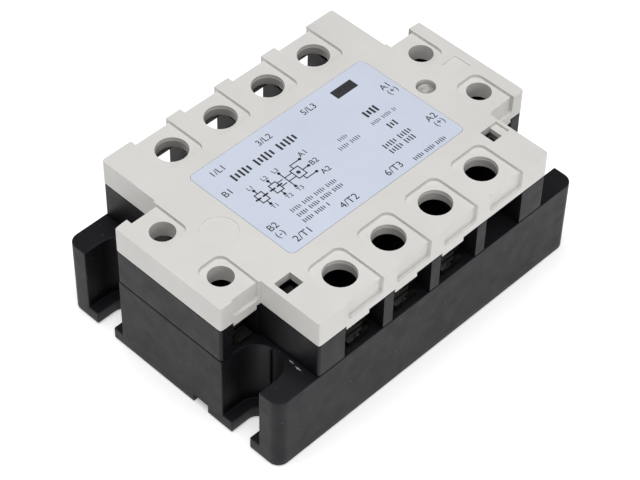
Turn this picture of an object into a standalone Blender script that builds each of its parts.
"""Three-phase solid state relay: a plus-shaped power module, modelled as it comes apart on a bench.

X runs along the module, Y across it, Z up from the heat sink that it is bolted to. The origin is in
the middle of the mounting face. All sizes are in metres.
"""

import math

import bmesh
import bpy
from mathutils import Matrix

# ---- Driving dimensions -------------------------------------------------------------------------

LENGTH = 0.103
WIDTH = 0.0725
HEIGHT = 0.0412
CLEARANCE = 0.0003  # left between neighbouring solids

BLOCK_HALF_LENGTH = 0.0389  # the middle block takes the full width
END_HALF_WIDTH = 0.0176  # the blocks at both ends are narrower
BASE_TOP = 0.0229
HOUSING_BOTTOM = BASE_TOP + 0.0004
HOUSING_TOP = 0.0335
COVER_BOTTOM = HOUSING_TOP + CLEARANCE
WALL = 0.0022

# Mounting corners: an open notch over a slotted foot
RAIL_WIDTH = 0.0065
NOTCH_RADIUS = (WIDTH / 2 - RAIL_WIDTH - END_HALF_WIDTH) / 2
NOTCH_Y = END_HALF_WIDTH + NOTCH_RADIUS
NOTCH_CENTRE_X = 0.04605
FOOT_THICKNESS = 0.00375
SLOT_RADIUS = 0.003
RAIL_CORNER_RADIUS = 0.003
BASE_LIFT = 0.0002  # the plastic stays this far above the heat sink

# Power terminals: four places in a row along each side, of which three are used
POLE_PITCH = 0.016
POLE_ROW_Y = 0.028
POLE_COUNT = 4
USED_POLES = 3
BAY_WIDTH = 0.0128
BAY_DEPTH_Y = 0.0195  # the bays' inner wall

# Control terminals: two at each end
CONTROL_X = 0.0438
CONTROL_Y = 0.0097
CONTROL_BAY_X = (0.0398, 0.0478)
CONTROL_BAY_Y = 0.0056

# Cover relief
PAD_DEPTH = 0.0009
PAD_HALF_WIDTH = 0.0057
PAD_START_Y = 0.0221
CONTROL_PAD_X = (0.0394, 0.0477)
CONTROL_PAD_START_Y = 0.0050
PAD_CORNER_RADIUS = 0.0024
SIDE_SETBACK = 0.0010
LEDGE_Z = COVER_BOTTOM + 0.0016
COVER_CORNER_RADIUS = 0.0015
COVER_CEILING = 0.0390
POWER_HOLE_RADIUS = 0.0042
CONTROL_HOLE_RADIUS = 0.0032
COLLAR_WALL = 0.0011
POWER_COLLAR_LOW = 0.0371  # the collars around the screw holes hang from the cover's ceiling
CONTROL_COLLAR_LOW = 0.0356
LAMP_X = 0.0350
LAMP_HOLE_RADIUS = 0.00255
BLANK_RADIUS = 0.00475
BLANK_DEPTH = 0.0002
TAB_DROP = 0.0012
LABEL_LOW = (-0.0283, -0.0169)
LABEL_HIGH = (0.0307, 0.0179)
LABEL_RECESS = 0.0005
LABEL_THICKNESS = 0.0002
LABEL_CORNER_RADIUS = 0.0015
WINDOW_X = (0.0323, 0.0374)
WINDOW_Y = (-0.0246, -0.0203)

# Power stage
PLATE_TOP = 0.0030
SUBSTRATE_SIZE = (0.0145, 0.0340)
SUBSTRATE_LOW = PLATE_TOP + CLEARANCE
SUBSTRATE_TOP = SUBSTRATE_LOW + 0.0010
DIE_SIZE = (0.0090, 0.0070)
DIE_THICKNESS = 0.0004
DIE_Y = 0.0050
CHAMBER_HALF_LENGTH = 0.0370
CHAMBER_HALF_WIDTH = 0.0172
POTTING_Z = (0.0057, 0.0120)
LOWER_CAVITY_TOP = 0.0140
LOWER_HALF_WIDTH = 0.0335
BUSBAR_WIDTH = 0.0070
BUSBAR_THICKNESS = 0.0012
TERMINAL_LOW = BASE_TOP + CLEARANCE
BUSBAR_OUTER_Y = 0.0346
LEG_Y = (0.0143, 0.0155)

# Board
BOARD_Z = (0.0280, 0.0296)
BOARD_HALF_SIZE = (0.0366, 0.0169)
BOARD_LEDGE = 0.0017
PARTS_LOW = BOARD_Z[1] + CLEARANCE

COLLECTION_NAME = "solid_state_relay"
ROUND_SEGMENTS = 24


class ScrewSize:
    """One size of terminal screw with its pressure plate. Heights count from the terminal's face."""

    def __init__(self, shank, length, head, head_height, drive, plate, plate_thickness):
        self.shank = shank
        self.length = length
        self.head = head
        self.head_height = head_height
        self.drive = drive
        self.plate = plate
        self.plate_thickness = plate_thickness


POWER_SCREW = ScrewSize(
    shank=0.00245, length=0.0090, head=0.0045, head_height=0.0032,
    drive=0.0048, plate=0.0098, plate_thickness=0.0012,
)
CONTROL_SCREW = ScrewSize(
    shank=0.00145, length=0.0065, head=0.0028, head_height=0.0022,
    drive=0.0030, plate=0.0066, plate_thickness=0.0009,
)
CONTROL_STRIP_THICKNESS = 0.0008


# ---- Scene, materials and shape helpers ---------------------------------------------------------


def clear_scene():
    for item in list(bpy.data.objects):
        bpy.data.objects.remove(item, do_unlink=True)


def new_collection(name):
    collection = bpy.data.collections.new(name)
    bpy.context.scene.collection.children.link(collection)
    return collection


def look(name, colour, roughness, metallic=0.0):
    material = bpy.data.materials.new(name)
    material.use_nodes = True
    shader = material.node_tree.nodes["Principled BSDF"]
    shader.inputs["Base Color"].default_value = (*colour, 1)
    shader.inputs["Roughness"].default_value = roughness
    shader.inputs["Metallic"].default_value = metallic
    return material


def add_box(bm, low, high):
    size = [b - a for a, b in zip(low, high)]
    centre = [(a + b) / 2 for a, b in zip(low, high)]
    place = Matrix.Translation(centre) @ Matrix.Diagonal((*size, 1))
    bmesh.ops.create_cube(bm, size=1, matrix=place)


def add_cylinder(bm, x, y, radius, low, high, segments=ROUND_SEGMENTS):
    bmesh.ops.create_cone(
        bm, cap_ends=True, segments=segments, radius1=radius, radius2=radius,
        depth=high - low, matrix=Matrix.Translation((x, y, (low + high) / 2)),
    )


def object_from(bm, name, material, collection):
    mesh = bpy.data.meshes.new(name)
    bm.to_mesh(mesh)
    bm.free()
    mesh.materials.append(material)
    item = bpy.data.objects.new(name, mesh)
    collection.objects.link(item)
    return item


def box(name, low, high, material, collection):
    bm = bmesh.new()
    add_box(bm, low, high)
    return object_from(bm, name, material, collection)


def rounded(corners, steps=6):
    """The outline through (x, y, radius) corners, with an arc at each corner that has a radius."""
    points = []
    for index, (x, y, radius) in enumerate(corners):
        before = corners[index - 1]
        after = corners[(index + 1) % len(corners)]
        if not radius:
            points.append((x, y))
            continue
        to_before = math.atan2(before[1] - y, before[0] - x)
        to_after = math.atan2(after[1] - y, after[0] - x)
        opening = (to_after - to_before + math.pi) % (2 * math.pi) - math.pi
        reach = radius / math.sin(abs(opening) / 2)
        middle = to_before + opening / 2
        centre_x = x + reach * math.cos(middle)
        centre_y = y + reach * math.sin(middle)
        sweep = math.copysign(math.pi - abs(opening), -opening)
        start = middle + math.pi - sweep / 2
        for step in range(steps + 1):
            angle = start + sweep * step / steps
            points.append((centre_x + radius * math.cos(angle), centre_y + radius * math.sin(angle)))
    return points


def rectangle(low, high, radius=0.0):
    return rounded([
        (low[0], low[1], radius), (high[0], low[1], radius),
        (high[0], high[1], radius), (low[0], high[1], radius),
    ])


def circle(x, y, radius, segments=ROUND_SEGMENTS):
    turn = 2 * math.pi / segments
    return [(x + radius * math.cos(turn * i), y + radius * math.sin(turn * i)) for i in range(segments)]


def plate(name, loops, low, high, material, collection, turn=None):
    """A flat outline with holes, filled and extruded from low to high, then made a mesh."""
    curve = bpy.data.curves.new(name, "CURVE")
    curve.dimensions = "2D"
    curve.fill_mode = "BOTH"
    curve.extrude = (high - low) / 2
    for loop in loops:
        spline = curve.splines.new("POLY")
        spline.points.add(len(loop) - 1)
        for point, (x, y) in zip(spline.points, loop):
            point.co = (x, y, 0, 1)
        spline.use_cyclic_u = True
    flat = bpy.data.objects.new(name + "_outline", curve)
    collection.objects.link(flat)
    graph = bpy.context.evaluated_depsgraph_get()
    mesh = bpy.data.meshes.new_from_object(flat.evaluated_get(graph))
    bpy.data.objects.remove(flat, do_unlink=True)
    bm = bmesh.new()
    bm.from_mesh(mesh)
    bmesh.ops.remove_doubles(bm, verts=bm.verts, dist=1e-6)
    bmesh.ops.translate(bm, verts=bm.verts, vec=(0, 0, (low + high) / 2))
    if turn:
        bmesh.ops.transform(bm, verts=bm.verts, matrix=turn)
    bmesh.ops.recalc_face_normals(bm, faces=bm.faces)
    bm.to_mesh(mesh)
    bm.free()
    mesh.name = name
    mesh.materials.clear()
    mesh.materials.append(material)
    item = bpy.data.objects.new(name, mesh)
    collection.objects.link(item)
    return item


def combine(target, tool, operation):
    """Adds a Boolean. The tool is a helper, so it is left out of renders and drawn as wires."""
    tool.hide_render = True
    tool.display_type = "WIRE"
    modifier = target.modifiers.new(f"{operation.lower()} {tool.name}", "BOOLEAN")
    modifier.operation = operation
    modifier.object = tool


def cut(target, *tools):
    for tool in tools:
        combine(target, tool, "DIFFERENCE")


def join(target, *tools):
    for tool in tools:
        combine(target, tool, "UNION")


def plus_plates(
    name, half_sizes, block_half_length, end_half_width, radius, low, high, material, collections
):
    """The module's plan in two plates: the wide middle block, and the narrower blocks at both ends."""
    half_length, half_width = half_sizes
    block = rectangle((-block_half_length, -half_width), (block_half_length, half_width), radius)
    ends = rectangle((-half_length, -end_half_width), (half_length, end_half_width), radius)
    return (
        plate(name, [block], low, high, material, collections[0]),
        plate(name + "_ends", [ends], low, high, material, collections[1]),
    )


def baked_mesh(item):
    """The item's mesh with its modifiers applied. The item and its tools are removed."""
    graph = bpy.context.evaluated_depsgraph_get()
    mesh = bpy.data.meshes.new_from_object(item.evaluated_get(graph))
    tools = [modifier.object for modifier in item.modifiers if modifier.type == "BOOLEAN"]
    for helper in [item, *tools]:
        bpy.data.objects.remove(helper, do_unlink=True)
    return mesh


def smooth(mesh):
    mesh.shade_smooth()
    mesh.set_sharp_from_angle(angle=math.radians(35))


def place_copy(name, mesh, location, collection):
    item = bpy.data.objects.new(name, mesh)
    item.location = location
    collection.objects.link(item)
    return item


def ordered(a, b):
    return min(a, b), max(a, b)


def mirrored_box(bm, signs, x, y, z):
    """A box given for the quadrant where X and Y are positive, moved to the quadrant of the signs."""
    x_range = ordered(signs[0] * x[0], signs[0] * x[1])
    y_range = ordered(signs[1] * y[0], signs[1] * y[1])
    add_box(bm, (x_range[0], y_range[0], z[0]), (x_range[1], y_range[1], z[1]))


def pole_x(index):
    return (index - (POLE_COUNT - 1) / 2) * POLE_PITCH


QUADRANTS = [(-1, -1), (1, -1), (-1, 1), (1, 1)]
SIDES = {"line": 1, "load": -1}
CONTROL_PLACES = {"b2": (-1, -1), "b1": (-1, 1), "a2": (1, -1), "a1": (1, 1)}
FAR = 0.06  # beyond the module on every side


# ---- Base ---------------------------------------------------------------------------------------


def u_shape(signs, radius):
    """A slot's plan: open to the end of the module, with a round inner end."""
    centre = (signs[0] * NOTCH_CENTRE_X, signs[1] * NOTCH_Y)
    arc = []
    steps = 12
    for step in range(steps + 1):
        angle = math.pi / 2 + math.pi * step / steps
        arc.append((centre[0] + signs[0] * radius * math.cos(angle), centre[1] + radius * math.sin(angle)))
    return arc + [(signs[0] * FAR, centre[1] - radius), (signs[0] * FAR, centre[1] + radius)]


def make_base_plate(parts, tools, metal):
    margin = 2 * CLEARANCE
    body, ends = plus_plates(
        "base_plate", (0.0470, LOWER_HALF_WIDTH - margin), CHAMBER_HALF_LENGTH - margin,
        END_HALF_WIDTH - WALL - margin, 0.0005, 0, PLATE_TOP, metal, (parts, tools),
    )
    join(body, ends)


def base_hollows(tools, plastic):
    """Everything that is hollow in the base: chamber, potting space, screw wells, vents at both ends."""
    bm = bmesh.new()
    half_x, half_y = CHAMBER_HALF_LENGTH, CHAMBER_HALF_WIDTH
    add_box(bm, (-half_x, -half_y, -0.01), (half_x, half_y, 0.04))
    chamber = object_from(bm, "base_chamber", plastic, tools)
    lower = plus_plates(
        "base_lower_space", (0.0494, LOWER_HALF_WIDTH), CHAMBER_HALF_LENGTH, END_HALF_WIDTH - WALL,
        0.0005, -0.01, LOWER_CAVITY_TOP, plastic, (tools, tools),
    )
    bm = bmesh.new()
    for index in range(POLE_COUNT):
        for side in SIDES.values():
            add_cylinder(bm, pole_x(index), side * POLE_ROW_Y, 0.0030, 0.0158, 0.03, 16)
    for signs in QUADRANTS:
        add_cylinder(bm, signs[0] * CONTROL_X, signs[1] * CONTROL_Y, 0.0020, 0.0165, 0.03, 12)
    wells = object_from(bm, "screw_wells", plastic, tools)
    bm = bmesh.new()
    add_box(bm, (-FAR, -0.0123, -0.01), (-0.048, -0.0075, 0.0026))
    add_box(bm, (0.048, 0.0075, -0.01), (FAR, 0.0123, 0.0026))
    vents = object_from(bm, "end_vents", plastic, tools)
    return chamber, *lower, wells, vents


def make_base_housing(parts, tools, plastic):
    outline = rectangle((-LENGTH / 2, -WIDTH / 2), (LENGTH / 2, WIDTH / 2), RAIL_CORNER_RADIUS)
    base = plate("base_housing", [outline], BASE_LIFT, BASE_TOP, plastic, parts)
    for number, signs in enumerate(QUADRANTS):
        notch = plate(
            f"notch_{number}", [u_shape(signs, NOTCH_RADIUS)], FOOT_THICKNESS, FAR, plastic, tools
        )
        slot = plate(f"slot_{number}", [u_shape(signs, SLOT_RADIUS)], -0.01, 0.01, plastic, tools)
        cut(base, notch, slot)
    cut(base, *base_hollows(tools, plastic))


# ---- Terminal housing ---------------------------------------------------------------------------


def housing_bays(tools, plastic):
    """The wire bays: open on the outside, at the top and at the bottom."""
    bm = bmesh.new()
    for index in range(POLE_COUNT):
        x = pole_x(index)
        for side in SIDES.values():
            y_range = ordered(side * BAY_DEPTH_Y, side * FAR)
            add_box(bm, (x - BAY_WIDTH / 2, y_range[0], 0), (x + BAY_WIDTH / 2, y_range[1], FAR))
    for signs in QUADRANTS:
        mirrored_box(bm, signs, CONTROL_BAY_X, (CONTROL_BAY_Y, 0.0190), (0, FAR))
    return object_from(bm, "bays", plastic, tools)


def housing_passages(tools, plastic):
    """Where busbars and control strips pass through the bays' inner walls."""
    bm = bmesh.new()
    top = TERMINAL_LOW + BUSBAR_THICKNESS + CLEARANCE
    half = BUSBAR_WIDTH / 2 + CLEARANCE
    for index in range(USED_POLES):
        x = pole_x(index)
        for side in SIDES.values():
            y_range = ordered(side * 0.0165, side * 0.0205)
            add_box(bm, (x - half, y_range[0], 0.02), (x + half, y_range[1], top))
    strip_top = TERMINAL_LOW + CONTROL_STRIP_THICKNESS + CLEARANCE
    for signs in QUADRANTS:
        mirrored_box(bm, signs, (0.0340, 0.0405), (0.0075, 0.0107), (0.02, strip_top))
    return object_from(bm, "passages", plastic, tools)


def housing_chamber(tools, plastic):
    """The electronics chamber: wider above the ledges that carry the board."""
    bm = bmesh.new()
    ledge_x = CHAMBER_HALF_LENGTH - BOARD_LEDGE
    add_box(bm, (-ledge_x, -CHAMBER_HALF_WIDTH, 0), (ledge_x, CHAMBER_HALF_WIDTH, 0.03))
    lower = object_from(bm, "chamber_lower", plastic, tools)
    upper_low = BOARD_Z[0] - CLEARANCE
    bm = bmesh.new()
    half_x, half_y = CHAMBER_HALF_LENGTH, CHAMBER_HALF_WIDTH
    add_box(bm, (-half_x, -half_y, upper_low), (half_x, half_y, FAR))
    upper = object_from(bm, "chamber_upper", plastic, tools)
    bm = bmesh.new()
    for side in (-1, 1):
        mirrored_box(bm, (side, 1), (0.0380, 0.0493), (-0.0038, 0.0038), (0, FAR))
    pockets = object_from(bm, "end_pockets", plastic, tools)
    return lower, upper, pockets


def make_terminal_housing(parts, tools, plastic):
    housing, ends = plus_plates(
        "terminal_housing", (LENGTH / 2, WIDTH / 2), BLOCK_HALF_LENGTH, END_HALF_WIDTH, 0.0008,
        HOUSING_BOTTOM, HOUSING_TOP, plastic, (parts, tools),
    )
    bm = bmesh.new()
    for side in (-1, 1):
        mirrored_box(bm, (side, 1), (0.0328, 0.0358), (-0.0240, -0.0209), (0.0320, 0.0378))
    hooks = object_from(bm, "latch_hooks", plastic, tools)
    join(housing, ends, hooks)
    cut(housing, housing_bays(tools, plastic), housing_passages(tools, plastic))
    cut(housing, *housing_chamber(tools, plastic))


# ---- Cover --------------------------------------------------------------------------------------


def pad_outline(x_range, y_start, side):
    """A recessed pad: rounded at its inner corners and open to the outside."""
    corners = [
        (x_range[0], y_start, PAD_CORNER_RADIUS), (x_range[1], y_start, PAD_CORNER_RADIUS),
        (x_range[1], FAR, 0), (x_range[0], FAR, 0),
    ]
    return rounded([(x, side * y, r) for x, y, r in corners])


def cover_pads(tools, plastic):
    """The recessed pads and, below each, the set-back in the side face that ends at a ledge."""
    pads = []
    steps = bmesh.new()
    pad_floor = HEIGHT - PAD_DEPTH
    for index in range(POLE_COUNT):
        x_range = (pole_x(index) - PAD_HALF_WIDTH, pole_x(index) + PAD_HALF_WIDTH)
        for side in SIDES.values():
            outline = pad_outline(x_range, PAD_START_Y, side)
            pads.append(plate(f"pad_{side}_{index}", [outline], pad_floor, FAR, plastic, tools))
            y_range = ordered(side * (WIDTH / 2 - SIDE_SETBACK), side * FAR)
            add_box(steps, (x_range[0], y_range[0], LEDGE_Z), (x_range[1], y_range[1], pad_floor + 0.0002))
    for number, signs in enumerate(QUADRANTS):
        x_range = ordered(signs[0] * CONTROL_PAD_X[0], signs[0] * CONTROL_PAD_X[1])
        outline = pad_outline(x_range, CONTROL_PAD_START_Y, signs[1])
        pads.append(plate(f"control_pad_{number}", [outline], pad_floor, FAR, plastic, tools))
        y_range = (END_HALF_WIDTH - SIDE_SETBACK, 0.0195)
        mirrored_box(steps, signs, CONTROL_PAD_X, y_range, (LEDGE_Z, pad_floor + 0.0002))
    return pads + [object_from(steps, "side_setbacks", plastic, tools)]


def cover_collars(tools, plastic):
    """Tubes around the screw holes, which guide a screwdriver."""
    collars = []
    ceiling = COVER_CEILING + 0.0004
    for index in range(POLE_COUNT):
        for row, side in SIDES.items():
            bm = bmesh.new()
            radius = POWER_HOLE_RADIUS + COLLAR_WALL
            add_cylinder(bm, pole_x(index), side * POLE_ROW_Y, radius, POWER_COLLAR_LOW, ceiling)
            collars.append(object_from(bm, f"collar_{row}_{index}", plastic, tools))
    for number, signs in enumerate(QUADRANTS):
        bm = bmesh.new()
        radius = CONTROL_HOLE_RADIUS + COLLAR_WALL
        add_cylinder(bm, signs[0] * CONTROL_X, signs[1] * CONTROL_Y, radius, CONTROL_COLLAR_LOW, ceiling)
        collars.append(object_from(bm, f"control_collar_{number}", plastic, tools))
    return collars


def cover_holes(tools, plastic):
    bm = bmesh.new()
    for index in range(POLE_COUNT):
        for side in SIDES.values():
            add_cylinder(bm, pole_x(index), side * POLE_ROW_Y, POWER_HOLE_RADIUS, 0.03, FAR)
    for signs in QUADRANTS:
        add_cylinder(bm, signs[0] * CONTROL_X, signs[1] * CONTROL_Y, CONTROL_HOLE_RADIUS, 0.03, FAR)
    add_cylinder(bm, LAMP_X, 0, LAMP_HOLE_RADIUS, 0.03, FAR)
    add_cylinder(bm, -LAMP_X, 0, BLANK_RADIUS, HEIGHT - BLANK_DEPTH, FAR)
    add_box(bm, (-WINDOW_X[1], WINDOW_Y[0], 0.03), (-WINDOW_X[0], WINDOW_Y[1], FAR))
    add_box(bm, (WINDOW_X[0], WINDOW_Y[0], 0.03), (WINDOW_X[1] - 0.0015, WINDOW_Y[1], FAR))
    return object_from(bm, "cover_holes", plastic, tools)


def cover_shallow_recesses(tools, plastic):
    bm = bmesh.new()
    step_x = (WINDOW_X[1] - 0.0016, WINDOW_X[1] + 0.0006)
    add_box(bm, (step_x[0], WINDOW_Y[0], HEIGHT - 0.0008), (step_x[1], WINDOW_Y[1], FAR))
    add_box(bm, (0.0438, -0.0026, HEIGHT - 0.0004), (0.0486, 0.0026, FAR))
    shallow = object_from(bm, "shallow_recesses", plastic, tools)
    outline = rectangle(LABEL_LOW, LABEL_HIGH, LABEL_CORNER_RADIUS)
    label = plate("label_recess", [outline], HEIGHT - LABEL_RECESS, FAR, plastic, tools)
    return shallow, label


def cover_tabs(tools, plastic):
    """Short tabs that hang from the cover's edge into the used bays."""
    bm = bmesh.new()
    low = COVER_BOTTOM - TAB_DROP
    high = COVER_BOTTOM + 0.0010
    for index in range(USED_POLES):
        x = pole_x(index)
        add_box(bm, (x - 0.0060, -WIDTH / 2, low), (x + 0.0013, -WIDTH / 2 + 0.0019, high))
        add_box(bm, (x - 0.0013, WIDTH / 2 - 0.0019, low), (x + 0.0060, WIDTH / 2, high))
    for signs in QUADRANTS:
        mirrored_box(bm, signs, (0.0402, 0.0474), (END_HALF_WIDTH - 0.0019, END_HALF_WIDTH), (low, high))
    return object_from(bm, "cover_tabs", plastic, tools)


def make_top_cover(parts, tools, plastic):
    cover, ends = plus_plates(
        "top_cover", (LENGTH / 2, WIDTH / 2), BLOCK_HALF_LENGTH, END_HALF_WIDTH, COVER_CORNER_RADIUS,
        COVER_BOTTOM, HEIGHT, plastic, (parts, tools),
    )
    hollows = plus_plates(
        "cover_inside", (LENGTH / 2 - WALL, WIDTH / 2 - WALL), BLOCK_HALF_LENGTH - WALL,
        END_HALF_WIDTH - WALL, 0.0005, 0.03, COVER_CEILING, plastic, (tools, tools),
    )
    join(cover, ends)
    cut(cover, *hollows)
    join(cover, cover_tabs(tools, plastic), *cover_collars(tools, plastic))
    cut(cover, *cover_pads(tools, plastic))
    cut(cover, cover_holes(tools, plastic), *cover_shallow_recesses(tools, plastic))


def make_rating_label(parts, paper):
    margin = CLEARANCE
    low = [v + margin for v in LABEL_LOW]
    high = [v - margin for v in LABEL_HIGH]
    outline = rectangle(low, high, LABEL_CORNER_RADIUS - margin)
    plate("rating_label", [outline], HEIGHT - LABEL_THICKNESS, HEIGHT, paper, parts)


# ---- Terminals ----------------------------------------------------------------------------------


def screw_mesh(size, name, tools, metal):
    """A pan-head screw with a cross recess. Its origin is on its axis, under the head."""
    dome = size.head_height * 0.35
    profile = [
        (0, size.head_height), (size.head * 0.75, size.head_height), (size.head, size.head_height - dome),
        (size.head, 0), (size.shank, 0), (size.shank, -size.length + 0.0006),
        (size.shank - 0.0006, -size.length), (0, -size.length),
    ]
    mesh = bpy.data.meshes.new(name)
    verts = [(x, 0, z) for x, z in profile]
    mesh.from_pydata(verts, [(i, i + 1) for i in range(len(verts) - 1)], [])
    mesh.materials.append(metal)
    item = bpy.data.objects.new(name, mesh)
    tools.objects.link(item)
    spin = item.modifiers.new("turn", "SCREW")
    spin.steps = 20
    spin.render_steps = 20
    spin.use_merge_vertices = True
    spin.merge_threshold = 0.00001
    reach = size.drive / 2
    floor = size.head_height * 0.45
    half_width = size.drive * 0.11
    for axis in (0, 1):
        half = (reach, half_width) if axis == 0 else (half_width, reach)
        low = (-half[0], -half[1], floor)
        high = (half[0], half[1], size.head_height + 0.001)
        cut(item, box(f"{name}_drive_{axis}", low, high, metal, tools))
    mesh = baked_mesh(item)
    smooth(mesh)
    return mesh


def clamp_mesh(size, name, tools, metal):
    """A square pressure plate with a clearance hole. Its origin is at the hole, on the lower face."""
    half = size.plate / 2
    hole = circle(0, 0, size.shank + CLEARANCE, 16)
    outline = rectangle((-half, -half), (half, half), half * 0.12)
    item = plate(name, [outline, hole], 0, size.plate_thickness, metal, tools)
    return baked_mesh(item)


def place_screw_and_clamp(name_start, name_end, meshes, size, seat, x, y, parts):
    clamp_low = seat + CLEARANCE
    head_low = clamp_low + size.plate_thickness + CLEARANCE
    place_copy(f"{name_start}_clamp_{name_end}", meshes["clamp"], (x, y, clamp_low), parts)
    place_copy(f"{name_start}_screw_{name_end}", meshes["screw"], (x, y, head_low), parts)


def busbar_mesh(side, tools, metal):
    """A power busbar: flat in the bay, then down a leg to its foot on the ceramic."""
    top = TERMINAL_LOW + BUSBAR_THICKNESS
    foot_low = SUBSTRATE_TOP + CLEARANCE
    foot_top = foot_low + 0.0008
    profile = [
        (BUSBAR_OUTER_Y, top), (LEG_Y[0], top), (LEG_Y[0], foot_top), (0.0105, foot_top),
        (0.0105, foot_low), (LEG_Y[1], foot_low), (LEG_Y[1], TERMINAL_LOW), (BUSBAR_OUTER_Y, TERMINAL_LOW),
    ]
    outline = [(side * y, z) for y, z in profile]
    # The outline's own X and Y become the module's Y and Z.
    turn = Matrix(((0, 0, 1, 0), (1, 0, 0, 0), (0, 1, 0, 0), (0, 0, 0, 1)))
    half = BUSBAR_WIDTH / 2
    item = plate("busbar", [outline], -half, half, metal, tools, turn)
    bm = bmesh.new()
    add_cylinder(bm, 0, side * POLE_ROW_Y, POWER_SCREW.shank + CLEARANCE, 0.02, 0.03, 16)
    cut(item, object_from(bm, "busbar_hole", metal, tools))
    return baked_mesh(item)


def make_power_terminals(parts, tools, plated, steel):
    meshes = {
        "clamp": clamp_mesh(POWER_SCREW, "power_clamp", tools, steel),
        "screw": screw_mesh(POWER_SCREW, "power_screw", tools, steel),
    }
    seat = TERMINAL_LOW + BUSBAR_THICKNESS
    for row, side in SIDES.items():
        bar = busbar_mesh(side, tools, plated)
        for index in range(USED_POLES):
            x = pole_x(index)
            place_copy(f"{row}_terminal_{index + 1}", bar, (x, 0, 0), parts)
            place_screw_and_clamp(row, index + 1, meshes, POWER_SCREW, seat, x, side * POLE_ROW_Y, parts)


def control_terminal(name, signs, parts, tools, metal):
    """A strip from the screw's seat into the chamber, with a pin up to the board."""
    top = TERMINAL_LOW + CONTROL_STRIP_THICKNESS
    corners = [
        (0.0342, 0.0078), (0.0405, 0.0078), (0.0405, 0.0062), (0.0471, 0.0062),
        (0.0471, 0.0166), (0.0405, 0.0166), (0.0405, 0.0104), (0.0342, 0.0104),
    ]
    outline = [(signs[0] * x, signs[1] * y) for x, y in corners]
    hole = circle(signs[0] * CONTROL_X, signs[1] * CONTROL_Y, CONTROL_SCREW.shank + CLEARANCE, 12)
    strip = plate(name, [outline, hole], TERMINAL_LOW, top, metal, parts)
    bm = bmesh.new()
    mirrored_box(bm, signs, (0.0342, 0.0350), (0.0084, 0.0098), (top - 0.0002, BOARD_Z[0] - CLEARANCE))
    join(strip, object_from(bm, name + "_pin", metal, tools))


def make_control_terminals(parts, tools, plated, steel):
    meshes = {
        "clamp": clamp_mesh(CONTROL_SCREW, "control_clamp", tools, steel),
        "screw": screw_mesh(CONTROL_SCREW, "control_screw", tools, steel),
    }
    seat = TERMINAL_LOW + CONTROL_STRIP_THICKNESS
    for mark, signs in CONTROL_PLACES.items():
        control_terminal(f"control_terminal_{mark}", signs, parts, tools, plated)
        x, y = signs[0] * CONTROL_X, signs[1] * CONTROL_Y
        place_screw_and_clamp("control", mark, meshes, CONTROL_SCREW, seat, x, y, parts)


# ---- Power stage and board ----------------------------------------------------------------------


def make_power_stage(parts, tools, ceramic, silicon, filling):
    half_x, half_y = SUBSTRATE_SIZE[0] / 2, SUBSTRATE_SIZE[1] / 2
    die_low = SUBSTRATE_TOP + CLEARANCE
    for index in range(USED_POLES):
        x = pole_x(index)
        low = (x - half_x, -half_y, SUBSTRATE_LOW)
        high = (x + half_x, half_y, SUBSTRATE_TOP)
        box(f"substrate_{index + 1}", low, high, ceramic, parts)
        for letter, y in (("a", -DIE_Y), ("b", DIE_Y)):
            low = (x - DIE_SIZE[0] / 2, y - DIE_SIZE[1] / 2, die_low)
            high = (x + DIE_SIZE[0] / 2, y + DIE_SIZE[1] / 2, die_low + DIE_THICKNESS)
            box(f"thyristor_{index + 1}{letter}", low, high, silicon, parts)
    edge_x, edge_y = CHAMBER_HALF_LENGTH - CLEARANCE, CHAMBER_HALF_WIDTH - CLEARANCE
    potting = box("potting", (-edge_x, -edge_y, POTTING_Z[0]), (edge_x, edge_y, POTTING_Z[1]), filling, parts)
    bm = bmesh.new()
    half = BUSBAR_WIDTH / 2 + CLEARANCE
    for index in range(USED_POLES):
        for side in SIDES.values():
            y_range = ordered(side * (LEG_Y[0] - CLEARANCE), side * (LEG_Y[1] + CLEARANCE))
            add_box(bm, (pole_x(index) - half, y_range[0], 0), (pole_x(index) + half, y_range[1], 0.02))
    cut(potting, object_from(bm, "leg_slots", filling, tools))


def make_control_board(parts, looks):
    half_x, half_y = BOARD_HALF_SIZE
    box("control_board", (-half_x, -half_y, BOARD_Z[0]), (half_x, half_y, BOARD_Z[1]), looks["board"], parts)
    for index in range(USED_POLES):
        x = pole_x(index)
        low = (x - 0.0033, 0.0020, PARTS_LOW)
        high = (x + 0.0033, 0.0105, PARTS_LOW + 0.0035)
        box(f"trigger_coupler_{index + 1}", low, high, looks["chip"], parts)
    low, high = (-0.0040, -0.0100, PARTS_LOW), (0.0040, -0.0050, PARTS_LOW + 0.0016)
    box("logic_chip", low, high, looks["chip"], parts)
    low, high = (0.0150, 0.0040, PARTS_LOW), (0.0280, 0.0090, PARTS_LOW + 0.0080)
    box("snubber_capacitor", low, high, looks["film"], parts)
    bm = bmesh.new()
    add_cylinder(bm, 0.0240, -0.0080, 0.0040, PARTS_LOW, PARTS_LOW + 0.0080)
    can = object_from(bm, "supply_capacitor", looks["can"], parts)
    smooth(can.data)


def turned(name, profile, x, material, parts):
    """A turned part standing on the module's centre line, from its profile of (radius, height)."""
    mesh = bpy.data.meshes.new(name)
    verts = [(radius, 0, height) for radius, height in profile]
    mesh.from_pydata(verts, [(i, i + 1) for i in range(len(verts) - 1)], [])
    mesh.materials.append(material)
    item = bpy.data.objects.new(name, mesh)
    item.location = (x, 0, 0)
    parts.objects.link(item)
    spin = item.modifiers.new("turn", "SCREW")
    spin.steps = ROUND_SEGMENTS
    spin.render_steps = ROUND_SEGMENTS
    spin.use_merge_vertices = True
    spin.merge_threshold = 0.00001


def dome(radius, low, high, steps=4):
    """Profile points of a half-oval dome, from its tip down to its rim."""
    quarter = math.pi / 2
    points = []
    for step in range(steps + 1):
        angle = quarter * step / steps
        points.append((radius * math.sin(angle), low + (high - low) * math.cos(angle)))
    return points


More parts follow.
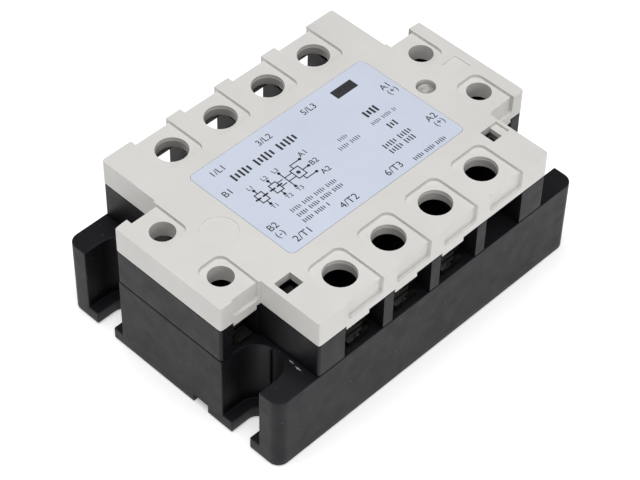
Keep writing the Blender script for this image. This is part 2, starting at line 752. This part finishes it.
def make_lamp(parts, looks):
    lamp_low = PARTS_LOW
    lamp = dome(0.0010, lamp_low + 0.0030, lamp_low + 0.0040)
    lamp += [(0.0010, lamp_low + 0.0006), (0.0013, lamp_low + 0.0006), (0.0013, lamp_low), (0, lamp_low)]
    turned("status_lamp", lamp, LAMP_X, looks["lamp"], parts)
    stem = LAMP_HOLE_RADIUS - CLEARANCE
    flange_top = COVER_CEILING - CLEARANCE
    lens = dome(stem, HEIGHT - 0.0016, HEIGHT - 0.0002)
    lens += [(stem, flange_top), (stem + 0.0010, flange_top), (stem + 0.0010, flange_top - 0.0008)]
    lens += [(0, flange_top - 0.0008)]
    turned("status_lens", lens, LAMP_X, looks["lens"], parts)


# ---- The module ---------------------------------------------------------------------------------


def make_module():
    clear_scene()
    parts = new_collection(COLLECTION_NAME)
    tools = new_collection("cutters")
    black = look("black_plastic", (0.022, 0.022, 0.026), 0.55)
    steel = look("zinc_plated_steel", (0.62, 0.62, 0.60), 0.32, 1.0)
    plated = look("nickel_plated_brass", (0.66, 0.63, 0.56), 0.28, 1.0)
    make_base_plate(parts, tools, look("nickel_plated_aluminium", (0.70, 0.69, 0.66), 0.35, 1.0))
    make_base_housing(parts, tools, black)
    make_terminal_housing(parts, tools, black)
    make_top_cover(parts, tools, look("light_grey_plastic", (0.69, 0.68, 0.66), 0.50))
    make_rating_label(parts, look("label_film", (0.62, 0.66, 0.78), 0.42))
    make_power_terminals(parts, tools, plated, steel)
    make_control_terminals(parts, tools, plated, steel)
    ceramic = look("ceramic", (0.80, 0.80, 0.78), 0.45)
    silicon = look("silicon", (0.12, 0.12, 0.14), 0.20)
    make_power_stage(parts, tools, ceramic, silicon, look("potting_resin", (0.05, 0.05, 0.05), 0.35))
    board_looks = {
        "board": look("board_laminate", (0.02, 0.15, 0.07), 0.40),
        "chip": look("chip_plastic", (0.03, 0.03, 0.03), 0.50),
        "film": look("capacitor_case", (0.10, 0.16, 0.42), 0.45),
        "can": look("capacitor_sleeve", (0.06, 0.06, 0.09), 0.35),
        "lamp": look("lamp_resin", (0.55, 0.85, 0.50), 0.15),
        "lens": look("clear_lens", (0.85, 0.87, 0.86), 0.10),
    }
    make_control_board(parts, board_looks)
    make_lamp(parts, board_looks)


make_module()
